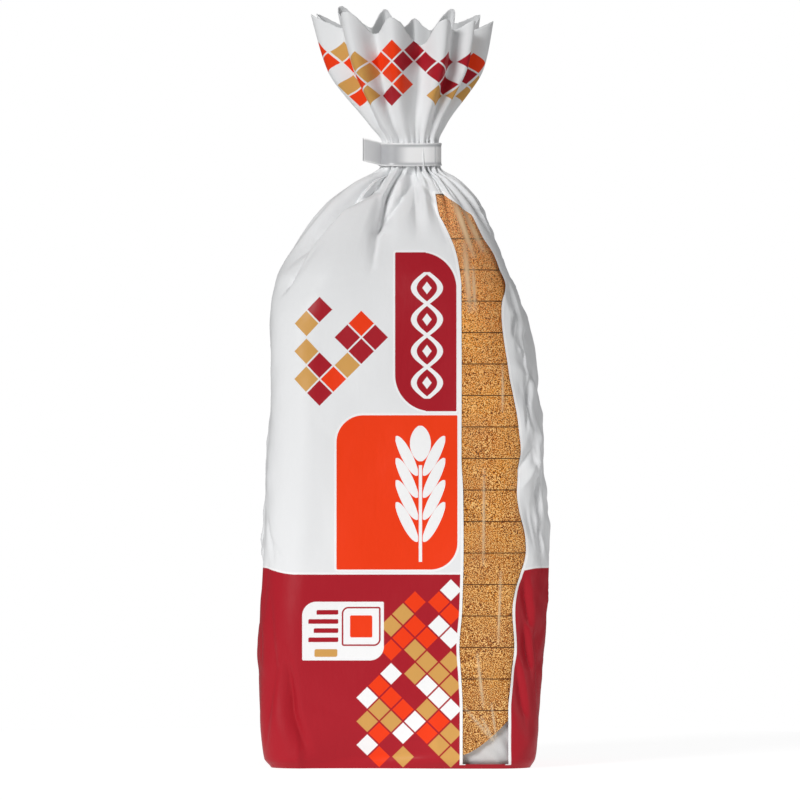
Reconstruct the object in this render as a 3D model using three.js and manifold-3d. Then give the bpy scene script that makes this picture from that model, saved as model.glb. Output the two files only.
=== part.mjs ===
// A sliced loaf in a printed bread bag. The bag stands on its flat end, and a flat band gathers its neck.
// Millimetres, +Z up, the front of the bag faces -Y, and the origin is the middle of the base.
// The filled bag is one solid. The slices show where its film is clear, so they are let into it there.
import * as THREE from 'three';
import { mergeVertices } from 'three/addons/utils/BufferGeometryUtils.js';
import Module from 'manifold-3d';

const wasm = await Module();
wasm.setup();

// Driving sizes
const neckBottom = 258.6; // where the band starts
const neckTop = 268.6; // where the film comes out of the band
const filmWall = 1.5; // the film above the band, drawn thick enough to be a solid
const ruffOpen = 300; // where the ruff has opened and its pleats have their full depth
const ruffFloor = 277; // how far down the open ruff reaches
const pleatAtBand = 0.7; // depth of the pleats inside the band
const pleatInRuff = 4.6; // and in the open ruff
const largestStep = 1 / 84; // widest column, as a share of the way round
const fit = 0.35; // gap between pieces that touch

// The outline by height: reach to the left, to the right, and to front and back, and the corner radius.
const stations = [
  { z: 0, left: 56.5, right: 54.5, depth: 46.5, corner: 15 },
  { z: 4, left: 59.6, right: 56.6, depth: 50, corner: 17 },
  { z: 24, left: 61.8, right: 58.6, depth: 51.6, corner: 18 },
  { z: 44, left: 62, right: 60.4, depth: 52, corner: 19 },
  { z: 85, left: 60.5, right: 62, depth: 52, corner: 20 },
  { z: 140, left: 58, right: 60.4, depth: 51.2, corner: 20 },
  { z: 172, left: 57.2, right: 56.5, depth: 50, corner: 21 },
  { z: 192, left: 56.8, right: 52, depth: 48.2, corner: 22 },
  { z: 210, left: 54, right: 46, depth: 44, corner: 24 },
  { z: 227, left: 45.2, right: 40.3, depth: 35, corner: 25 },
  { z: 242, left: 34, right: 34, depth: 24.5, corner: 20 },
  { z: 251, left: 21.8, right: 25.6, depth: 15, corner: 12 },
  { z: neckBottom, left: 9.4, right: 15.6, depth: 7.2, corner: 6.6 },
  { z: neckTop, left: 9.2, right: 15.4, depth: 7, corner: 6.4 },
  { z: 276, left: 14.2, right: 18.4, depth: 10.4, corner: 9.6 },
  { z: 289, left: 22.8, right: 25.3, depth: 16.2, corner: 15.6 },
  { z: 304, left: 29.7, right: 31.4, depth: 21.6, corner: 21 },
  { z: 326, left: 35.9, right: 35.4, depth: 26, corner: 25.5 },
];

// Pleats of the ruff, once round from the middle of the front and going right.
// at is a share of the way round, out is 1 on a ridge and -1 in a valley, edge is the height of the cut edge.
const ruffFolds = [
  { at: 0.04, out: -1, edge: 310 },
  { at: 0.088, out: 1, edge: 321 },
  { at: 0.124, out: -0.6, edge: 316.5 },
  { at: 0.156, out: 0.7, edge: 320.5 },
  { at: 0.19, out: -0.7, edge: 316 },
  { at: 0.25, out: 1, edge: 321 },
  { at: 0.293, out: -1, edge: 316 },
  { at: 0.335, out: 0.9, edge: 325 },
  { at: 0.372, out: -0.6, edge: 321 },
  { at: 0.4, out: 1, edge: 327.6 },
  { at: 0.437, out: -1, edge: 318 },
  { at: 0.475, out: 0.8, edge: 323.6 },
  { at: 0.505, out: -0.7, edge: 319 },
  { at: 0.537, out: 1, edge: 327.6 },
  { at: 0.578, out: -1, edge: 319 },
  { at: 0.625, out: 1, edge: 328.5 },
  { at: 0.663, out: -0.9, edge: 320 },
  { at: 0.703, out: 0.8, edge: 324.5 },
  { at: 0.728, out: -0.7, edge: 317.5 },
  { at: 0.757, out: 1, edge: 323.6 },
  { at: 0.822, out: -1, edge: 317.5 },
  { at: 0.886, out: 0.9, edge: 324 },
  { at: 0.932, out: -0.9, edge: 314.5 },
  { at: 0.975, out: 1, edge: 321.6 },
];

// Valleys that run down from the neck over the shoulders: place at the neck and at the foot, the height where
// each one fades out, depth and half width as shares of the local reach, and how far round it goes.
const shoulderFolds = [
  { top: 0.955, foot: 0.972, fade: 222, depth: 0.3, half: 0.03 },
  { top: 0.905, foot: 0.905, fade: 240, depth: 0.16, half: 0.022 },
  { top: 0.86, foot: 0.835, fade: 214, depth: 0.26, half: 0.032 },
  { top: 0.79, foot: 0.775, fade: 224, depth: 0.22, half: 0.026 },
  { top: 0.72, foot: 0.725, fade: 210, depth: 0.26, half: 0.03 },
  { top: 0.655, foot: 0.665, fade: 226, depth: 0.2, half: 0.024 },
  { top: 0.59, foot: 0.6, fade: 212, depth: 0.27, half: 0.032 },
  { top: 0.52, foot: 0.525, fade: 224, depth: 0.22, half: 0.028 },
  { top: 0.455, foot: 0.45, fade: 210, depth: 0.27, half: 0.03 },
  { top: 0.39, foot: 0.385, fade: 226, depth: 0.2, half: 0.024 },
  { top: 0.325, foot: 0.325, fade: 212, depth: 0.24, half: 0.03 },
  { top: 0.262, foot: 0.265, fade: 216, depth: 0.22, half: 0.026 },
  { top: 0.205, foot: 0.21, fade: 206, depth: 0.2, half: 0.026 },
  { top: 0.16, foot: 0.165, fade: 236, depth: 0.16, half: 0.02 },
  { top: 0.115, foot: 0.12, fade: 240, depth: 0.18, half: 0.018 },
  { top: 0.07, foot: 0.075, fade: 236, depth: 0.18, half: 0.02 },
  { top: 0.02, foot: 0.03, fade: 228, depth: 0.22, half: 0.024 },
];

// The clear strip, by height: its edges as distances to the right of the middle, seen from the front.
const windowEdges = [
  { z: 2, near: 25.4, far: 45 },
  { z: 25, near: 25.4, far: 45 },
  { z: 39, near: 24.8, far: 46.6 },
  { z: 52, near: 24, far: 47.8 },
  { z: 68, near: 25.2, far: 46.8 },
  { z: 95, near: 25.8, far: 52.4 },
  { z: 118, near: 25.6, far: 48.8 },
  { z: 133, near: 24.9, far: 50 },
  { z: 172, near: 25, far: 45.4 },
  { z: 199, near: 24.9, far: 42.6 },
  { z: 206, near: 24.6, far: 43.2 },
  { z: 215, near: 23.4, far: 38 },
  { z: 227, near: 21, far: 32 },
  { z: 237, near: 16.8, far: 29 },
  { z: 247, near: 14.4, far: 18.5 },
];

// The loaf
const loafFoot = 4;
const loafTop = 246;
const sliceCount = 17;
const heelFoot = 21; // thickness of the end slice at the foot
const heelTop = 19.5; // and of the one under the neck
const windowDepth = 7; // how deep the slices are let in
const filmOver = 0.8; // how far their crust lies behind the bag's surface
const sliceBulge = 0.5; // how far each crust swells between its cuts
const heelRound = 4; // how far the two end slices curve away at their outer ends
const stepsASlice = 2;
const cutterSide = 0.1; // room beside the slices, beyond their own gap
const cutterReach = 6; // how far the window's cutter stands out of the bag

function smoothstep(low, high, value) {
  const t = THREE.MathUtils.clamp((value - low) / (high - low), 0, 1);
  return t * t * (3 - 2 * t);
}

// Smooth curve through one column of a table, with no overshoot between its rows.
function along(table, key, z) {
  const last = table.length - 1;
  const i = Math.min(Math.max(table.findIndex((row) => row.z > z) - 1, 0), last - 1);
  const row = z >= table[last].z ? last - 1 : i;
  const slope = (k) => (table[k + 1][key] - table[k][key]) / (table[k + 1].z - table[k].z);
  const tangent = (k) => {
    if (k === 0) return slope(0);
    if (k === last) return slope(last - 1);
    const [before, after] = [slope(k - 1), slope(k)];
    return before * after <= 0 ? 0 : (2 * before * after) / (before + after);
  };
  const span = table[row + 1].z - table[row].z;
  const t = THREE.MathUtils.clamp((z - table[row].z) / span, 0, 1);
  const [t2, t3] = [t * t, t * t * t];
  return (
    table[row][key] * (2 * t3 - 3 * t2 + 1) +
    table[row + 1][key] * (3 * t2 - 2 * t3) +
    span * (tangent(row) * (t3 - 2 * t2 + t) + tangent(row + 1) * (t3 - t2))
  );
}

// Point and outward direction on a rounded rectangle, a share of the way round from the middle of the front.
function roundedRectangle(share, halfWidth, halfDepth, corner) {
  const r = Math.min(corner, halfWidth, halfDepth);
  const [runX, runY, arc] = [halfWidth - r, halfDepth - r, (Math.PI * r) / 2];
  const wrapped = share - Math.floor(share);
  const mirrored = wrapped > 0.5;
  let s = (mirrored ? 1 - wrapped : wrapped) * (4 * runX + 4 * runY + 4 * arc);
  let [x, y, nx, ny] = [0, 0, 0, 0];
  const turn = (centreX, centreY, angle) => {
    [nx, ny] = [Math.sin(angle), -Math.cos(angle)];
    [x, y] = [centreX + r * nx, centreY + r * ny];
  };
  if (s <= runX) [x, y, nx, ny] = [s, -halfDepth, 0, -1];
  else if ((s -= runX) <= arc) turn(runX, -runY, s / r);
  else if ((s -= arc) <= 2 * runY) [x, y, nx, ny] = [halfWidth, s - runY, 1, 0];
  else if ((s -= 2 * runY) <= arc) turn(runX, runY, Math.PI / 2 + s / r);
  else [x, y, nx, ny] = [runX - (s - arc), halfDepth, 0, 1];
  return mirrored ? { x: -x, y, nx: -nx, ny } : { x, y, nx, ny };
}

// The bag's outline at a height, without its folds.
function outlineAt(z) {
  const [left, right] = [along(stations, 'left', z), along(stations, 'right', z)];
  return {
    middle: (right - left) / 2,
    halfWidth: (right + left) / 2,
    halfDepth: along(stations, 'depth', z),
    corner: along(stations, 'corner', z),
  };
}

// A ring of folds read between its entries, which join by half waves.
function ringValue(folds, key, share) {
  const wrapped = share - Math.floor(share);
  let after = folds.findIndex((fold) => fold.at > wrapped);
  if (after < 0) after = 0;
  const before = (after + folds.length - 1) % folds.length;
  const gap = (folds[after].at - folds[before].at + 1) % 1;
  const t = ((wrapped - folds[before].at + 1) % 1) / gap;
  const eased = (1 - Math.cos(Math.PI * t)) / 2;
  return folds[before][key] + (folds[after][key] - folds[before][key]) * eased;
}

// How far the gathered film lies inside its outline at a place on the shoulders and neck.
function shoulderInset(share, z) {
  const reach = along(stations, 'depth', z);
  return shoulderFolds.reduce((inset, fold) => {
    const up = smoothstep(fold.fade, neckBottom, z);
    const centre = THREE.MathUtils.lerp(fold.foot, fold.top, up);
    const away = Math.abs(((share - centre + 1.5) % 1) - 0.5);
    const valley = Math.max(0, 1 - away / fold.half);
    const faded = smoothstep(fold.fade - 6, fold.fade + 22, z);
    return inset + fold.depth * reach * valley * Math.sqrt(valley) * faded;
  }, 0);
}

function bagPoint(share, z) {
  const { middle, halfWidth, halfDepth, corner } = outlineAt(z);
  const p = roundedRectangle(share, halfWidth, halfDepth, corner);
  const ruff = smoothstep(neckTop, ruffOpen, z);
  const deep = THREE.MathUtils.lerp(pleatAtBand, pleatInRuff, ruff);
  const fold = ringValue(ruffFolds, 'out', share) - 1 + ruff;
  const pleat = smoothstep(neckBottom - 6, neckTop, z) * deep * fold;
  const out = pleat - shoulderInset(share, z) * (1 - smoothstep(neckBottom, neckTop, z));
  return new THREE.Vector3(middle + p.x + p.nx * out, p.y + p.ny * out, z);
}

// The same film inside the ruff, one wall further in.
function innerPoint(share, z) {
  const step = 0.004;
  const here = bagPoint(share, z);
  const tangent = bagPoint(share + step, z).sub(bagPoint(share - step, z)).setZ(0).normalize();
  return here.add(new THREE.Vector3(-tangent.y, tangent.x, 0).multiplyScalar(filmWall));
}

// Columns stand on every pleat, with more between them where the gap is wide.
function columnShares() {
  return ruffFolds.flatMap((fold, i) => {
    const next = ruffFolds[(i + 1) % ruffFolds.length].at + (i + 1 === ruffFolds.length ? 1 : 0);
    const steps = Math.max(2, Math.ceil((next - fold.at) / largestStep));
    return Array.from({ length: steps }, (_, k) => fold.at + ((next - fold.at) * k) / steps);
  });
}

// A closed skin over rings of points, each ring as long as the next, with a flat fan at either end.
function skin(rings) {
  const count = rings[0].length;
  const middleOf = (ring) =>
    ring.reduce((sum, p) => sum.add(p), new THREE.Vector3()).divideScalar(count);
  const points = [...rings.flat(), middleOf(rings[0]), middleOf(rings.at(-1))];
  const [first, last] = [points.length - 2, points.length - 1];
  const faces = [];
  for (let k = 0; k < count; k++) {
    const next = (k + 1) % count;
    faces.push(first, next, k);
    for (let row = 0; row < rings.length - 1; row++) {
      const [a, b] = [row * count + k, row * count + next];
      faces.push(a, b, b + count, a, b + count, a + count);
    }
    const top = (rings.length - 1) * count;
    faces.push(last, top + k, top + next);
  }
  const geometry = new THREE.BufferGeometry().setFromPoints(points);
  geometry.setIndex(faces);
  return geometry;
}

function evenly(from, to, steps) {
  return Array.from({ length: steps + 1 }, (_, i) => from + ((to - from) * i) / steps);
}

// Filled body, shoulders and neck, then up the outside of the ruff, over its cut edge and down the inside.
function bagGeometry() {
  const shares = columnShares();
  const levels = [0, 1.2, 4, 12, 24, 44, 64, 85, 112, 140, 158, 172, 184, 194, 203, 211, 218, 224, 229.5];
  levels.push(...evenly(234.5, 256.5, 6), neckBottom, neckTop);
  const ring = (z) => shares.map((share) => bagPoint(share, z));
  const ruffRing = (point, t) => (share) =>
    point(share, THREE.MathUtils.lerp(neckTop, ringValue(ruffFolds, 'edge', share), t));
  const outer = evenly(0.08, 1, 9).map((t) => shares.map(ruffRing(bagPoint, t)));
  const edgeMean = ruffFolds.reduce((sum, fold) => sum + fold.edge / ruffFolds.length, 0);
  const floorShare = (ruffFloor - neckTop) / (edgeMean - neckTop);
  const inner = evenly(1, floorShare, 6).map((t) => shares.map(ruffRing(innerPoint, t)));
  return skin([...levels.map(ring), ...outer, ...inner]);
}

function toManifold(geometry) {
  const bare = geometry.clone();
  bare.deleteAttribute('normal');
  bare.deleteAttribute('uv');
  const merged = mergeVertices(bare, 1e-4);
  return new wasm.Manifold(
    new wasm.Mesh({
      numProp: 3,
      vertProperties: new Float32Array(merged.attributes.position.array),
      triVerts: new Uint32Array(merged.index.array),
    }),
  );
}

function fromManifold(solid) {
  const { vertProperties, triVerts } = solid.getMesh();
  const geometry = new THREE.BufferGeometry();
  geometry.setAttribute('position', new THREE.BufferAttribute(vertProperties, 3));
  geometry.setIndex(new THREE.BufferAttribute(triVerts, 1));
  return geometry;
}

// A place on the smooth bag, x to the right of the middle and a distance in from its surface.
function windowPoint(x, inward, z) {
  const { middle, halfWidth, halfDepth, corner } = outlineAt(z);
  let [a, b] = [0, 0.25];
  for (let i = 0; i < 24; i++) {
    const share = (a + b) / 2;
    if (middle + roundedRectangle(share, halfWidth, halfDepth, corner).x < x) a = share;
    else b = share;
  }
  const p = roundedRectangle(a, halfWidth, halfDepth, corner);
  return new THREE.Vector3(middle + p.x - p.nx * inward, p.y - p.ny * inward, z);
}

// A strip of the window between heights, as a closed block from one depth behind the surface to another.
function windowBlock(levels, grow, outside, inside) {
  const across = 6;
  const rings = levels.map(({ z, edge = z, sunk = 0 }) => {
    const [near, far] = [along(windowEdges, 'near', edge) - grow, along(windowEdges, 'far', edge) + grow];
    const xs = evenly(near, far, across);
    const front = xs.map((x) => windowPoint(x, outside + sunk, z));
    const back = [...xs].reverse().map((x) => windowPoint(x, inside, z));
    return [...front, ...back];
  });
  return skin(rings);
}

// Heights of the cuts between slices, with the two ends of the loaf.
function sliceCuts() {
  return [loafFoot, ...evenly(loafFoot + heelFoot, loafTop - heelTop, sliceCount - 2), loafTop];
}

// The crust of one slice where it shows. The two end slices curve away at the end of the loaf.
function sliceGeometry(index) {
  const cuts = sliceCuts();
  const [foot, top] = [cuts[index] + fit / 2, cuts[index + 1] - fit / 2];
  const levels = evenly(foot, top, stepsASlice).map((z, i) => {
    const t = i / stepsASlice;
    const [footHeel, topHeel] = [index === 0, index === sliceCount - 1];
    const towardsEnd = footHeel ? 1 - t : topHeel ? t : 0;
    return { z, sunk: sliceBulge * (2 * t - 1) ** 2 + heelRound * towardsEnd ** 2 };
  });
  return windowBlock(levels, -fit, filmOver, windowDepth - fit);
}

// The cut in the bag that the slices lie in.
function windowCutter() {
  const cuts = sliceCuts();
  const between = cuts.slice(1).flatMap((cut, i) => evenly(cuts[i], cut, stepsASlice).slice(1));
  const levels = [loafFoot - fit, ...between.slice(0, -1), loafTop + fit].map((z) => ({ z }));
  return windowBlock(levels, cutterSide, -cutterReach, windowDepth);
}

// The flat band: once round the neck, its two ends pressed together in a tab that points left and forward.
const bandHeight = 9.6;
const bandWall = 0.9;
const bandCorner = 6.8;
const bandSteps = 48;
const tabLength = 8;
const tabAngle = THREE.MathUtils.degToRad(212);

function bandGeometry() {
  const { middle, halfWidth, halfDepth } = outlineAt((neckBottom + neckTop) / 2);
  const loop = (grow) =>
    Array.from({ length: bandSteps }, (_, i) => {
      const p = roundedRectangle(i / bandSteps, halfWidth + grow, halfDepth + grow, bandCorner + grow);
      return new THREE.Vector2(middle + p.x, p.y);
    });
  const extrude = (shape) => {
    const geometry = new THREE.ExtrudeGeometry(shape, { depth: bandHeight, bevelEnabled: false });
    return toManifold(geometry.translate(0, 0, neckBottom + (neckTop - neckBottom - bandHeight) / 2));
  };
  const ring = new THREE.Shape(loop(fit + bandWall));
  ring.holes.push(new THREE.Path(loop(fit)));
  const root = new THREE.Vector2(middle - halfWidth - fit, -halfDepth * 0.35);
  const [alongTab, acrossTab] = [
    new THREE.Vector2(Math.cos(tabAngle), Math.sin(tabAngle)),
    new THREE.Vector2(-Math.sin(tabAngle), Math.cos(tabAngle)).multiplyScalar(bandWall * 0.75),
  ];
  const tip = root.clone().addScaledVector(alongTab, tabLength);
  const tab = new THREE.Shape([
    root.clone().add(acrossTab),
    tip.clone().add(acrossTab),
    tip.clone().sub(acrossTab),
    root.clone().sub(acrossTab),
  ]);
  return fromManifold(extrude(ring).add(extrude(tab)));
}

function piece(name, geometry, material) {
  geometry.computeVertexNormals();
  const mesh = new THREE.Mesh(geometry, material);
  mesh.name = name;
  return mesh;
}

const filmWhite = new THREE.MeshStandardMaterial({ color: 0xe9eaec, roughness: 0.38, metalness: 0 });
const crustBrown = new THREE.MeshStandardMaterial({ color: 0xc68a4a, roughness: 0.9, metalness: 0 });
const bandSilver = new THREE.MeshStandardMaterial({ color: 0xc9cbcd, roughness: 0.3, metalness: 0.2 });

const loafInBag = new THREE.Group();
const filledBag = toManifold(bagGeometry()).subtract(toManifold(windowCutter()));
loafInBag.add(piece('bag', fromManifold(filledBag), filmWhite));
for (let i = 0; i < sliceCount; i++) {
  loafInBag.add(piece(`slice_${String(i + 1).padStart(2, '0')}`, sliceGeometry(i), crustBrown));
}
loafInBag.add(piece('neck_band', bandGeometry(), bandSilver));

export default loafInBag;
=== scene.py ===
# A sliced loaf in a printed bread bag. The bag stands on its flat end, and a flat tape gathers its neck.
# Its front faces -Y. Tables are in millimetres, and each mesh is scaled to metres as it is made.
import math
from functools import partial
import bpy
import numpy as np
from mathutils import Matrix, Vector


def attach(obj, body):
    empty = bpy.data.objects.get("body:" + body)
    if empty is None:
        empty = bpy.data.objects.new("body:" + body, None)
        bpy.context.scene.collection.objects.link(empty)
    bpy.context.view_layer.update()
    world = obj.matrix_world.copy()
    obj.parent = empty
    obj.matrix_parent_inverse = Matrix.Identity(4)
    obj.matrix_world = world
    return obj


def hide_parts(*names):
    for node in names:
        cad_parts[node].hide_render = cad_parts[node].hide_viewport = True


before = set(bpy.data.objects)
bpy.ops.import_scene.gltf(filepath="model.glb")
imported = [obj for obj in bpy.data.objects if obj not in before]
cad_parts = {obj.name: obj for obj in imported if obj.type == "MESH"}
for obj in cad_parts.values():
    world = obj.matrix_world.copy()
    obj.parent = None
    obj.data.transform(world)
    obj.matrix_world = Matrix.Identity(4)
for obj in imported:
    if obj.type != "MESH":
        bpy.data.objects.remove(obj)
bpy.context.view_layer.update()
metres = 0.001


# Small maths

def smoothstep(low, high, value):
    t = np.clip((value - low) / (high - low), 0, 1)
    return t * t * (3 - 2 * t)


def hill(zone, value):
    # from 0 to 1 over the zone's first range and back to 0 over its second
    (upFrom, upTo), (downFrom, downTo) = zone
    return smoothstep(upFrom, upTo, value) * (1 - smoothstep(downFrom, downTo, value))


def blend(a, b, t):
    return a + (b - a) * t


def smoothColumn(rows, column, z):
    # monotone cubic through one column of a table, so that nothing overshoots between its rows
    at, value = rows[:, 0], rows[:, column]
    slope = np.diff(value) / np.diff(at)
    tangent = np.concatenate([slope[:1], np.zeros(len(at) - 2), slope[-1:]])
    before, after = slope[:-1], slope[1:]
    rising = before * after > 0
    tangent[1:-1][rising] = 2 * before[rising] * after[rising] / (before + after)[rising]
    i = np.clip(np.searchsorted(at, z, side="right") - 1, 0, len(at) - 2)
    span = at[i + 1] - at[i]
    t = np.clip((z - at[i]) / span, 0, 1)
    ends = value[i] * (2 * t**3 - 3 * t**2 + 1) + value[i + 1] * (3 * t**2 - 2 * t**3)
    return ends + span * (tangent[i] * (t**3 - 2 * t**2 + t) + tangent[i + 1] * (t**3 - t**2))


def ringValue(at, value, share):
    # values once round a ring, joined by half waves
    wrapped = share - np.floor(share)
    after = np.searchsorted(at, wrapped, side="right") % len(at)
    before = (after - 1) % len(at)
    t = ((wrapped - at[before]) % 1) / ((at[after] - at[before]) % 1)
    return blend(value[before], value[after], (1 - np.cos(np.pi * t)) / 2)


# The bag's form, close to that of its solid

bag = {
    "neckBottom": 258.6,  # where the tape starts
    "neckTop": 268.6,
    "ruffOpen": 300,  # where the ruff's pleats have their full depth
    "pleatAtBand": 0.7, "pleatInRuff": 4.6,  # half their depth
    "bodyTop": 264,  # body film and ruff film meet under the tape
    "backSeam": 11, "seamStep": 0.7,  # width and step of the overlap down the middle of the back
    "seamHeights": ((2, 8), (226, 246)),
    "finePleats": 58, "fineDepth": 1.25,  # the small pleats under the tape
    "fineFrom": (224, 254), "fineTo": (262, 273),  # heights where they grow and fade
    "fineWeak": ((-0.24, -0.2), (-0.02, 0.04)),  # shares of the way round where they are weakest
    "fineStrong": ((0.02, 0.05), (0.18, 0.24)),  # and where they are deepest
    "creased": ((0, 8), (238, 258)),  # heights where creases and dents set in and end
    "foldEnd": (254, 259),  # heights where the deep folds run out under the tape
    "foldRoom": 0.75,  # share of the bag's depth that such a fold may take
    "dent": 0.45, "dentWaves": 14,  # soft dents all over
    "crumpleWaves": 7, "crumpleFront": 0.15,
    "crumpleSide": 0.35, "sideZone": ((52, 72), (150, 180)),  # u where the sides are
    "crumpleStrip": 1.0, "stripZone": ((44, 54), (72, 84)),  # and the film right of the clear strip
    "tautFoot": (66, 96), "tautShoulder": (184, 206),  # heights where the crumples grow and fade
}

outlineRows = np.array([  # height, reach to the left, to the right, to front and back, corner radius
    (0, 56.5, 54.5, 46.5, 15), (4, 59.6, 56.6, 50, 17), (24, 61.8, 58.6, 51.6, 18),
    (44, 62, 60.4, 52, 19), (85, 60.5, 62, 52, 20), (140, 58, 60.4, 51.2, 20),
    (172, 57.2, 56.5, 50, 21), (192, 56.8, 52, 48.2, 22), (210, 54, 46, 44, 24),
    (227, 45.2, 40.3, 35, 25), (242, 34, 34, 24.5, 20), (251, 21.8, 25.6, 15, 12),
    (258.6, 9.4, 15.6, 7.2, 6.6), (268.6, 9.2, 15.4, 7, 6.4), (276, 14.2, 18.4, 10.4, 9.6),
    (289, 22.8, 25.3, 16.2, 15.6), (304, 29.7, 31.4, 21.6, 21), (326, 35.9, 35.4, 26, 25.5),
])

ruffRows = np.array([  # share of the way round, 1 on a ridge and -1 in a valley, height of the cut edge
    (0.04, -1, 310), (0.088, 1, 321), (0.124, -0.6, 316.5), (0.156, 0.7, 320.5),
    (0.19, -0.7, 316), (0.25, 1, 321), (0.293, -1, 316), (0.335, 0.9, 325),
    (0.372, -0.6, 321), (0.4, 1, 327.6), (0.437, -1, 318), (0.475, 0.8, 323.6),
    (0.505, -0.7, 319), (0.537, 1, 327.6), (0.578, -1, 319), (0.625, 1, 328.5),
    (0.663, -0.9, 320), (0.703, 0.8, 324.5), (0.728, -0.7, 317.5), (0.757, 1, 323.6),
    (0.822, -1, 317.5), (0.886, 0.9, 324), (0.932, -0.9, 314.5), (0.975, 1, 321.6),
])

shoulderRows = np.array([  # share at neck and at foot, height where it fades, depth and half width
    (0.955, 0.972, 222, 0.3, 0.03), (0.905, 0.905, 240, 0.16, 0.022), (0.86, 0.835, 214, 0.26, 0.032),
    (0.79, 0.775, 224, 0.22, 0.026), (0.72, 0.725, 210, 0.26, 0.03), (0.655, 0.665, 226, 0.2, 0.024),
    (0.59, 0.6, 212, 0.27, 0.032), (0.52, 0.525, 224, 0.22, 0.028), (0.455, 0.45, 210, 0.27, 0.03),
    (0.39, 0.385, 226, 0.2, 0.024), (0.325, 0.325, 212, 0.24, 0.03), (0.262, 0.265, 216, 0.22, 0.026),
    (0.205, 0.21, 206, 0.2, 0.026), (0.16, 0.165, 236, 0.16, 0.02), (0.115, 0.12, 240, 0.18, 0.018),
    (0.07, 0.075, 236, 0.18, 0.02), (0.02, 0.03, 228, 0.22, 0.024),
])

windowRows = np.array([  # height, near and far edge of the clear strip, to the right of the middle
    (2, 25.4, 45), (25, 25.4, 45), (39, 24.8, 46.6), (52, 24, 47.8), (68, 25.2, 46.8),
    (95, 25.8, 52.4), (118, 25.6, 48.8), (133, 24.9, 50), (172, 25, 45.4), (199, 24.9, 42.6),
    (206, 24.9, 43.4), (213.3, 24.1, 40.6), (220, 22.8, 38), (227, 20.4, 33.8), (233, 17.6, 31.3),
    (237, 15.6, 29.6), (240.4, 14.8, 24.8), (243.4, 14.4, 20.8), (247, 13.6, 17.4),
])
windowFoot, windowTop = 2, 246.1  # lower and upper end of the clear strip


def outlineAt(z):
    left, right, depth, corner = (smoothColumn(outlineRows, k, z) for k in (1, 2, 3, 4))
    return (right - left) / 2, (right + left) / 2, depth, corner


def roundedRectangle(share, halfWidth, halfDepth, corner):
    # point and outward direction, a share of the way round from the middle of the front, going right
    r = np.minimum(corner, np.minimum(halfWidth, halfDepth))
    runX, runY, arc = halfWidth - r, halfDepth - r, math.pi * r / 2
    wrapped = share - np.floor(share)
    side = np.where(wrapped > 0.5, -1.0, 1.0)
    s = np.where(wrapped > 0.5, 1 - wrapped, wrapped) * 4 * (runX + runY + arc)
    sideEnd = runX + arc + 2 * runY
    angle = (np.clip(s - runX, 0, arc) + np.clip(s - sideEnd, 0, arc)) / r
    centreX = np.minimum(s, runX) - np.maximum(s - sideEnd - arc, 0)
    centreY = np.clip(s - runX - arc, 0, 2 * runY) - runY
    nx, ny = np.sin(angle), -np.cos(angle)
    return side * (centreX + r * nx), centreY + r * ny, side * nx, ny


def perimeterAt(z):
    _, halfWidth, halfDepth, corner = outlineAt(z)
    r = np.minimum(corner, np.minimum(halfWidth, halfDepth))
    return 4 * (halfWidth + halfDepth - 2 * r + math.pi * r / 2)


def shoulderInset(share, z):
    reach = smoothColumn(outlineRows, 3, z)
    inset = np.zeros_like(share * z)
    for top, foot, fade, depth, half in shoulderRows:
        centre = blend(foot, top, smoothstep(fade, bag["neckBottom"], z))
        away = np.abs((share - centre + 1.5) % 1 - 0.5)
        valley = np.maximum(0, 1 - away / half) ** 1.5
        inset += depth * reach * valley * smoothstep(fade - 6, fade + 22, z)
    return inset


def pleatOut(share, z):
    ruff = smoothstep(bag["neckTop"], bag["ruffOpen"], z)
    deep = blend(bag["pleatAtBand"], bag["pleatInRuff"], ruff)
    fold = ringValue(ruffRows[:, 0], ruffRows[:, 1], share) - 1 + ruff
    return smoothstep(bag["neckBottom"] - 6, bag["neckTop"], z) * deep * fold


def shareAt(x, z):
    # share of the way round where the smooth bag's right half passes a distance from the middle
    low, high = np.zeros_like(x * z), np.full_like(x * z, 0.25)
    middle, halfWidth, halfDepth, corner = outlineAt(z)
    for _ in range(24):
        share = (low + high) / 2
        short = middle + roundedRectangle(share, halfWidth, halfDepth, corner)[0] < x
        low, high = np.where(short, share, low), np.where(short, high, share)
    return low


# What the film adds to that form: fine pleats under the tape, creases, soft dents and the back seam

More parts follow.
